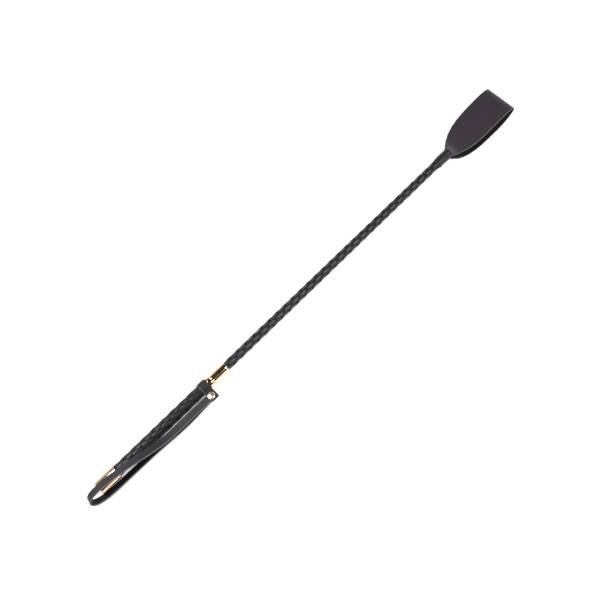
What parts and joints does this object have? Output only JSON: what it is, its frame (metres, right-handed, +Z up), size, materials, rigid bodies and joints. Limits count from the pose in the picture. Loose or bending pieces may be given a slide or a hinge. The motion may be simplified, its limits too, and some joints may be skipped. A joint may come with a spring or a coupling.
{
  "type": "riding crop",
  "caption": "Slim plaited riding crop with a folded leather keeper, a metal ferrule and butt cap, and a wrist strap riveted to a band on the handle.",
  "frame": {"origin": "centre of the end cap's flat end face", "axes": "+X along the crop from the butt to the tip; +Z up with the crop lying down; -Y the side the wrist strap's rivet is on"},
  "size_m": [0.6215, 0.0379, 0.0202],
  "materials": {
    "fibreglass": "satin glass fibre",
    "core_plastic": "matte",
    "plaited_leather": "glossy black plaited",
    "smooth_leather": "satin black smooth",
    "thread": "waxed thread",
    "gilt_metal": "polished gilt",
    "adhesive": "set adhesive"
  },
  "bodies": {
    "crop": {"core_rod": "fibreglass", "handle_core": "core_plastic", "handle_braid": "plaited_leather", "shaft_liner": "thread", "shaft_braid": "plaited_leather", "butt_whipping": "thread", "ferrule_whipping": "thread", "tip_whipping": "thread", "end_cap": "gilt_metal", "cap_glue_plug": "adhesive", "ferrule_sleeve": "gilt_metal", "ferrule_ring": "gilt_metal", "tip_wrap": "smooth_leather", "hanger_band": "smooth_leather", "rivet_cap": "gilt_metal", "rivet_post": "gilt_metal", "rivet_back": "gilt_metal", "keeper_neck_front": "smooth_leather", "keeper_neck_back": "smooth_leather"},
    "flap": {"keeper": "smooth_leather"},
    "strap": {"wrist_strap": "smooth_leather"}
  },
  "joints": [
    {"name": "keeper_flex", "type": "hinge", "parent": "crop", "child": "flap", "pos_m": [0.5175, 0.0001, 0], "axis": [0, -1, 0], "range_deg": [-25, 25], "stiffness_Nm_per_rad": 0.25},
    {"name": "strap_swing", "type": "hinge", "parent": "crop", "child": "strap", "pos_m": [0.1436, -0.0125, 0], "axis": [0, 0, 1], "range_deg": [0, 100]}
  ]
}
